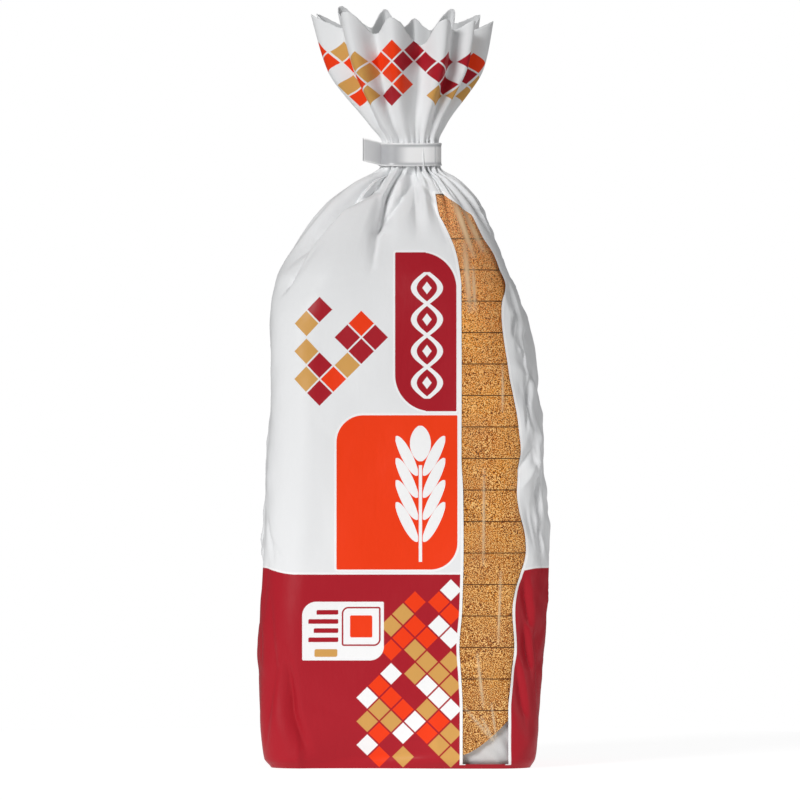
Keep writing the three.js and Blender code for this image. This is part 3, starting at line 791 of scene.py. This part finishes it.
filmGrid = {
    "round": 470, "window": 46,  # columns round the back and columns across the strip
    "spread": 1.12,  # above 1 they lie closer together right of the strip, where the film is most creased
    "rowStep": 1.15, "shoulderStep": 0.8, "shoulder": 198,
    "baseRings": 14, "flap": 17, "flapWide": 6, "flapReach": 40, "flapStep": 0.5,
}

glints = [  # u and height of both ends and half width of each painted glint
    (22, 243, 30.5, 219, 1.2), (25.5, 242, 35, 222, 1.5), (43, 172, 42.4, 153, 0.5),
    (34.5, 128, 34.2, 87, 0.5), (41.6, 84, 40.6, 54, 0.5), (31.6, 49, 34.2, 27, 0.6),
    (26.4, 26, 38.5, 12, 0.5), (33.4, 22, 38.4, 12.6, 0.5), (37.6, 28, 39.6, 14, 0.4),
    (26.5, 224, 28.6, 196, 1.4), (30.2, 214, 30.8, 196, 0.8),
]


def windowShares(z):
    inStrip = np.clip(z, windowFoot, windowTop)
    # above the strip its columns keep their share of the way round
    return tuple(shareAt(smoothColumn(windowRows, k, inStrip), inStrip) for k in (1, 2))


def filmRows():
    low = np.arange(0, filmGrid["shoulder"], filmGrid["rowStep"])
    high = np.arange(filmGrid["shoulder"], bag["bodyTop"], filmGrid["shoulderStep"])
    return np.unique(np.concatenate([low, high, [0.4, 0.8, windowFoot, windowTop, bag["bodyTop"]]]))


def buildFilm(printed, clear):
    z = filmRows()
    near, far = windowShares(z)
    across = np.linspace(0, 1, filmGrid["window"] + 1)[:-1]
    roundBack = np.linspace(0, 1, filmGrid["round"] + 1)[:-1] ** filmGrid["spread"]
    inWindow = near[:, None] + (far - near)[:, None] * across
    behind = far[:, None] + (near + 1 - far)[:, None] * roundBack
    share = np.concatenate([inWindow, behind], 1)
    heights = np.repeat(z[:, None], share.shape[1], 1)
    points, u = filmPoint(share, heights, wrinkles(share, heights)), printPlace(share, heights)
    # the base: rings that shrink to the middle, with the folded end's overlap pressed into them
    rings = np.linspace(0.02, 1, filmGrid["baseRings"] + 1)[:-1]
    centre = points[0].mean(0)
    base = centre + (points[0] - centre) * rings[:, None, None]
    wide = filmGrid["flapWide"] * (np.abs(base[..., 0]) < filmGrid["flapReach"])
    flap = np.abs(base[..., 1]) < filmGrid["flap"] + wide
    base[..., 2] = np.where(flap, 0.0, filmGrid["flapStep"])
    grid = np.concatenate([base, points])
    rows, columns = grid.shape[:2]
    faces, row, column = gridFaces(rows, columns, True)

    first = filmGrid["baseRings"]
    allShares = np.concatenate([np.repeat(share[:1], first, 0), share])
    allHeights = np.concatenate([np.zeros_like(base[..., 2]), heights])
    cornerShare, cornerZ = faceCorners(allShares, allHeights, row, column)
    uv = np.stack([outlineAt(cornerZ)[0] + cornerShare * perimeterAt(cornerZ), cornerZ], -1)

    # how far each point lies from the clear strip, in mm round the bag
    nearAll, farAll = (np.concatenate([np.repeat(s[:1], first), s])[:, None] for s in (near, far))
    ahead = np.abs((allShares - nearAll + 0.5) % 1 - 0.5)
    past = np.abs((allShares - farAll + 0.5) % 1 - 0.5)
    distance = np.minimum(ahead, past) * perimeterAt(allHeights)
    over = (allHeights - windowTop).clip(0)
    isStrip = (np.arange(columns)[None, :] < filmGrid["window"]) & (allHeights >= windowTop)
    distance = np.where(isStrip, over, np.hypot(distance, over))
    u = np.concatenate([np.zeros_like(base[..., 0]), u])
    glint = glintAt(u, allHeights)

    mid = (allHeights[row, column] + allHeights[row + 1, column]) / 2
    clearFaces = (column < filmGrid["window"]) & (mid > windowFoot) & (mid < windowTop)
    flat, attributes = grid.reshape(-1, 3), {"windowDistance": distance.ravel()}
    body = meshFromGrid("printed_film", flat, faces[~clearFaces], uv[~clearFaces], attributes)
    finishPiece(body, printed, "printed_film", "bag")
    strip = meshFromGrid("clear_strip", flat, faces[clearFaces], uv[clearFaces], {"glint": glint.ravel()})
    finishPiece(strip, clear, "clear_film")


def glintAt(u, z):
    glint = np.zeros_like(u)
    for u0, z0, u1, z1, half in glints:
        du, dz = u1 - u0, z1 - z0
        t = np.clip(((u - u0) * du + (z - z0) * dz) / (du * du + dz * dz), 0, 1)
        away = np.hypot(u - u0 - t * du, z - z0 - t * dz) / half
        glint = np.maximum(glint, np.exp(-away**2) * np.sin(np.pi * np.clip(t, 0.08, 0.92)) ** 0.5)
    haze = 0.5 + 0.5 * np.sin(u / 2.7 + 1.3 * np.sin(z / 23)) * np.sin(z / 31 + 1)
    # milkier film where it leaves the top slices: partly slack film, partly painted light that brightens
    # those slices
    return np.clip(0.8 * glint + 0.05 * haze + 0.1 * smoothstep(200, 236, z), 0, 1)


# The open ruff above the tape

ruff = {"columns": 660, "rows": 72, "thickness": 0.28, "edgeJitter": 0.22, "foot": 262, "backPrint": 120}


def buildRuff(printed, inside):
    share = np.arange(ruff["columns"]) / ruff["columns"]
    draw = np.random.default_rng(3)
    jitter = np.convolve(np.tile(draw.normal(0, 1, ruff["columns"]), 3), np.ones(9) / 3, "same")
    edge = ringValue(ruffRows[:, 0], ruffRows[:, 2], share)
    edge = edge + ruff["edgeJitter"] * jitter[ruff["columns"]:2 * ruff["columns"]]
    t = np.linspace(0, 1, ruff["rows"])
    heights = blend(ruff["foot"], edge[None, :], t[:, None])
    shares = np.repeat(share[None, :], ruff["rows"], 0)
    points = filmPoint(shares, heights, wrinkles(shares, heights))
    faces, row, column = gridFaces(ruff["rows"], ruff["columns"], True)
    cornerShare, cornerZ = faceCorners(shares, heights, row, column)
    # the print behind is measured from the middle of the back, so that the tiles stay square there too
    turned = np.where(np.abs(cornerShare.mean(1)) > 0.25, np.sign(cornerShare.mean(1)), 0)[:, None]
    across = (cornerShare - 0.5 * turned) * perimeterAt(cornerZ) + ruff["backPrint"] * turned
    uv = np.stack([outlineAt(cornerZ)[0] + across, cornerZ], -1)
    far = np.full(points.shape[0] * points.shape[1], 99.0)
    piece = meshFromGrid("ruff_film", points.reshape(-1, 3), faces, uv, {"windowDistance": far})
    wall = piece.modifiers.new("wall", "SOLIDIFY")
    wall.thickness, wall.offset, wall.material_offset = ruff["thickness"] * metres, -1, 1
    finishPiece(piece, printed, "printed_film")
    # the inner face takes the greyer colour, painted shade inside the ruff
    piece.data.materials.append(inside)


# The slices

loaf = {
    "foot": 4, "top": 246, "count": 17, "footHeel": 21, "topHeel": 19.5,
    "behindStrip": 0.35,  # gap between crust and film where the film is clear
    "behindPrint": 3.4,  # and where it is printed
    "behindNeck": 4.0,  # and how much more below the tape
    "clearance": 0.3, "extra": 1.1, "gap": 0.14, "rimRound": 0.25, "bulge": 0.12, "columns": 320,
    "heelCorner": 25.4,  # how far the lowest slice reaches to the right at its rounded foot
    "heelFoot": 6.0, "heelHigh": 18.7, "heelGrow": 17.5,  # it widens by heelGrow between the two heights
    "rings": 7, "closeRings": 26, "closeFrom": 190,  # more where deep folds press on the top slices
    "topRound": 0.8,
}


def sliceCuts():
    inner = np.linspace(loaf["foot"] + loaf["footHeel"], loaf["top"] - loaf["topHeel"], loaf["count"] - 1)
    return [loaf["foot"], *inner, loaf["top"]]


def buildSlice(index, material, inside):
    cuts = sliceCuts()
    foot, top = cuts[index] + loaf["gap"] / 2, cuts[index + 1] - loaf["gap"] / 2
    thick, r = top - foot, loaf["rimRound"]
    edge = [(r * (1 - math.sin(a)), r * (1 - math.cos(a))) for a in np.linspace(0, math.pi / 2, 4)]
    count = loaf["closeRings"] if foot > loaf["closeFrom"] or index == 0 else loaf["rings"]
    side = [(0.0, h) for h in np.linspace(r, thick - r, count)[1:-1]]
    profile = edge + side + [(inset, thick - height) for inset, height in edge[::-1]]
    share = np.arange(loaf["columns"]) / loaf["columns"]
    rings = []
    for inset, height in profile:
        z = np.full(loaf["columns"], foot + height)
        near, past = windowShares(z[:1])
        away = np.maximum(np.maximum(near - share, share - past), 0)
        far = loaf["behindPrint"] + loaf["behindNeck"] * smoothstep(206, 238, z)
        behind = blend(loaf["behindStrip"], far, smoothstep(0.012, 0.04, away))
        # the soft crust gives way where a crease presses on it
        margin = loaf["clearance"] + loaf["extra"] * smoothstep(0, 0.01, away)
        behind = np.maximum(behind, margin - wrinkles(share, z))
        t = height / thick
        swell = loaf["bulge"] * (2 * t - 1) ** 2
        end = loaf["topRound"] * (t**3 if index == loaf["count"] - 1 else 0)
        middle = np.array([outlineAt(z[:1])[0][0], 0, 0])
        points = filmPoint(share, z, -behind - swell - inset - end)
        if index == 0:
            climb = max(0, foot + height - loaf["heelFoot"]) / (loaf["heelHigh"] - loaf["heelFoot"])
            reach = loaf["heelCorner"] + loaf["heelGrow"] * climb**0.7 - inset
            points[:, 0] = np.minimum(points[:, 0], reach)
        rings.append(points)
    foots, tops = ([middle * (1 - f) * [1, 1, 0] + ring * [f, f, 1] for f in (0.94, 0.6, 0.02)]
                   for ring in (rings[0], rings[-1]))
    rings = foots[::-1] + rings + tops
    grid = np.stack(rings)
    faces, row, _ = gridFaces(len(rings), loaf["columns"], True)
    z = grid[..., 2]
    atFoot, atTop = row < 2, row >= len(rings) - 3
    isCut = atTop if index == 0 else atFoot if index == loaf["count"] - 1 else atFoot | atTop
    # painted shade where the slices meet: darkest at each cut edge, gone 0.28 mm from it
    paintedGapShade = 1 - smoothstep(0.03, 0.28, np.minimum(z - foot, top - z))
    name = f"slice_{index + 1:02d}"
    piece = meshFromGrid(name + "_crust", grid.reshape(-1, 3), faces, None, {"paintedGapShade": paintedGapShade.ravel()})
    finishPiece(piece, material, "crust", name)
    piece.data.materials.append(inside)
    piece.data.polygons.foreach_set("material_index", isCut.astype(np.int32))


# The tape round the neck

band = {
    "low": 258.7, "height": 9.9, "gap": 0.3, "wall": 0.8, "columns": 160,
    "bead": 0.28, "beadIn": 0.45, "beadHalf": 0.35,  # height, distance from the edge and half width
    "sag": 0.5, "sagReach": 17,
    "paintedHighlightFrom": (-4, 3), "paintedHighlightEnd": 14,  # x where the painted highlight on the front begins, and where it ends in a thin darker line
    "tab": 7.7, "tabTurn": 205, "tabRise": 1.9, "tabWall": 0.55, "tabCurl": 0.25,  # angle in degrees
}


def bandSection():
    # a closed loop of (out, up): a thin strip with a rolled bead along both edges
    h, w = band["height"], band["wall"]
    outer = []
    for t in np.linspace(0.03, 0.97, 25):
        away = (min(t, 1 - t) * h - band["beadIn"]) / band["beadHalf"]
        outer.append((w + band["bead"] * math.exp(-away**2), t * h))
    return [(0, 0), (w * 0.6, 0), *outer, (w * 0.6, h), (0, h)]


def buildBand(material):
    section = np.array(bandSection())
    share = np.arange(band["columns"]) / band["columns"]
    z = np.full(band["columns"], band["low"] + band["height"] / 2)
    middle, halfWidth, halfDepth, corner = outlineAt(z)
    rings = []
    for out, up in section:
        grow = band["gap"] + out
        x, y, _, _ = roundedRectangle(share, halfWidth + grow, halfDepth + grow, corner + grow)
        # the tape sags a little in front
        sag = band["sag"] * (y < 0) * (1 - (x / band["sagReach"]) ** 2)
        rings.append(np.stack([middle + x, y, band["low"] + up - sag], -1))
    grid = np.stack(rings)
    faces, _, _ = gridFaces(len(rings) + 1, band["columns"], True)
    faces = faces % (len(rings) * band["columns"])
    x, up = grid[..., 0], section[:, 1:] + 0 * grid[..., 0]
    fromEdge = np.minimum(up, band["height"] - up)
    # painted highlight on the tape's front: a bright panel that ends in a thin darker line, and bright
    # lines along both edges
    line = 1 - 0.8 * np.exp(-((x - band["paintedHighlightEnd"]) / 0.35) ** 2)
    paintedHighlight = smoothstep(*band["paintedHighlightFrom"], x) * line * smoothstep(0.9, 2.2, fromEdge) * (grid[..., 1] < 0)
    paintedHighlight = np.maximum(paintedHighlight, 1 - smoothstep(0.25, 0.8, fromEdge))
    piece = meshFromGrid("neck_tape", grid.reshape(-1, 3), faces[:, ::-1], None, {"paintedHighlight": paintedHighlight.ravel()})
    finishPiece(piece, material, "band", "neck_band")


def buildTab(material):
    # the tape's two ends, pressed together
    middle, halfWidth, halfDepth, _ = outlineAt(band["low"] + band["height"] / 2)
    turn = math.radians(band["tabTurn"])
    root = np.array([middle - halfWidth - band["gap"], -halfDepth * 0.5])
    steps = np.linspace(0, 1, 14)
    layers = []
    for side in (1, -1):
        angle = turn - band["tabCurl"] * steps
        along = band["tab"] * steps[:, None] * np.stack([np.cos(angle), np.sin(angle)], -1)
        layers.append(root + along + side * band["tabWall"] * np.array([-math.sin(turn), math.cos(turn)]))
    outline = np.concatenate([layers[0], layers[1][::-1]])
    spine = (outline + outline[::-1]) / 2
    rise = np.concatenate([steps, steps[::-1]]) * band["tabRise"]
    low = np.array([0, 0.25, 0.7])
    heights = np.array([*low, *np.linspace(1.2, band["height"] - 1.2, 9), *(band["height"] - low[::-1])])
    # the first and the last ring close the cut edges
    tab = [np.column_stack([spine, band["low"] + rise])]
    for h in heights:
        edge = min(h, band["height"] - h)
        shrink = 0.55 if edge == 0 else 1 + 0.25 * math.exp(-((edge - 0.45) / 0.3) ** 2)
        tab.append(np.column_stack([spine + (outline - spine) * shrink, band["low"] + h + rise]))
    tab.append(np.column_stack([spine, band["low"] + band["height"] + rise]))
    grid = np.stack(tab)
    up = np.array([0, *heights, band["height"]])[:, None] + 0 * grid[..., 0]
    # painted highlight over the whole tab, brightest along its edges
    paintedHighlight = 1 - 0.7 * smoothstep(0.25, 0.8, np.minimum(up, band["height"] - up))
    faces, _, _ = gridFaces(len(tab), len(outline), True)
    piece = meshFromGrid("neck_tape_tab", grid.reshape(-1, 3), faces, None, {"paintedHighlight": paintedHighlight.ravel()})
    finishPiece(piece, material, "band")


# The film folded in under the heel, seen through the clear strip

tuck = {"behind": 3.2, "lean": 0.03, "low": 0.5, "high": 27, "ripple": 0.4, "rows": 44, "columns": 60,
        "past": 0.25}  # share of the strip's width that it reaches past each edge


def buildTuck(material):
    z = np.linspace(tuck["low"], tuck["high"], tuck["rows"])
    near, far = windowShares(z)
    t = np.linspace(-tuck["past"], 1 + tuck["past"], tuck["columns"])
    share = near[:, None] + (far - near)[:, None] * t
    heights = np.repeat(z[:, None], len(t), 1)
    ripple = tuck["ripple"] * np.sin(9 * t + heights / 2.6) * np.sin(heights / 4 + 5 * t)
    points = filmPoint(share, heights, -tuck["behind"] - tuck["lean"] * (tuck["high"] - heights) - ripple)
    faces, _, _ = gridFaces(len(z), len(t), False)
    piece = meshFromGrid("tucked_film", points.reshape(-1, 3), faces)
    # the tuck takes the greyer inner face, painted shade
    finishPiece(piece, material, "printed_film")


# Camera, light and floor

studio = {
    "distance": 3.6,  # m from the bag, far enough that the photo's view is almost flat
    "frame": 0.344,  # m across the picture at the bag
    "aim": (-0.0013, -0.02, 0.1574),  # where the camera looks
    "lights": {  # where each comes from, strength and softness
        "key": ((-1.05, -1.6, 0.72), 2.1, 0.35),
        "fill": ((1.6, -0.3, 0.25), 0.6, 0.6),
        "top": ((0.2, 0.9, 1.6), 0.1, 0.8),
    },
    "air": 0.14,  # light from all round
    "floor": 0.4, "floorSides": 96, "floorColour": "#8c8c8c",  # radius in m
    "glow": (0.62, 0.9),  # the floor is bright to the eye, but throws little light up at the bag's foot
}


def aimAt(thing, place, target):
    thing.location = place
    thing.rotation_euler = (Vector(target) - Vector(place)).to_track_quat("-Z", "Y").to_euler()


def buildStudio():
    camera = bpy.data.objects.new("camera", bpy.data.cameras.new("camera"))
    bpy.context.scene.collection.objects.link(camera)
    aim = studio["aim"]
    aimAt(camera, (aim[0], aim[1] - studio["distance"], aim[2]), aim)
    camera.data.lens = camera.data.sensor_width * studio["distance"] / studio["frame"]
    camera.data.clip_end = 50
    bpy.context.scene.camera = camera
    for name, (place, strength, softness) in studio["lights"].items():
        light = bpy.data.lights.new(name, "SUN")
        light.energy, light.angle = strength, softness
        lamp = bpy.data.objects.new(name, light)
        bpy.context.scene.collection.objects.link(lamp)
        aimAt(lamp, place, (0, 0, 0))
    world = bpy.data.worlds.new("studio")
    bpy.context.scene.world = world
    world.use_nodes = True
    world.node_tree.nodes.clear()
    add = partial(addNodeTo, world.node_tree)
    ray = add("LightPath")
    strength = add("MapRange", {0: ray.outputs["Is Camera Ray"], 3: studio["air"], 4: 1.0})
    sky = add("Background", [(1, 1, 1, 1), strength])
    add("OutputWorld", [sky])
    bpy.context.scene.view_settings.view_transform = "Standard"

    mesh = bpy.data.meshes.new("floor")
    sides = studio["floorSides"]
    ring = [2 * math.pi * k / sides for k in range(sides)]
    mesh.from_pydata([(studio["floor"] * math.cos(a), studio["floor"] * math.sin(a), 0) for a in ring],
                     [], [tuple(range(sides))])
    floor = bpy.data.objects.new("floor", mesh)
    bpy.context.scene.collection.objects.link(floor)
    material, add = newMaterial("paleStudioPaper")
    ray, (dim, bright) = add("LightPath"), studio["glow"]
    glow = add("MapRange", {0: ray.outputs["Is Camera Ray"], 3: dim, 4: bright})
    shader = add("BsdfPrincipled", {
        "Base Color": linear(studio["floorColour"]), "Roughness": 0.9, "Emission Color": (1, 1, 1, 1),
        "Emission Strength": glow})
    add("OutputMaterial", [shader])
    mesh.materials.append(material)


buildStudio()
print("studio: camera, lights and floor")
filmMaterial, stripMaterial, tapeMaterial = printedFilm(), clearFilm(), tape()
innerMaterial, crustMaterial, crumbMaterial = innerFilm(), crust(), crumb()
buildFilm(filmMaterial, stripMaterial)
print("film: printed body and clear strip")
buildRuff(filmMaterial, innerMaterial)
print("ruff: open film above the tape")
for sliceIndex in range(loaf["count"]):
    buildSlice(sliceIndex, crustMaterial, crumbMaterial)
print(f"loaf: {loaf['count']} slices")
buildTuck(innerMaterial)
print("foot: tucked film")
buildBand(tapeMaterial)
buildTab(tapeMaterial)
print("tape: band and tab")
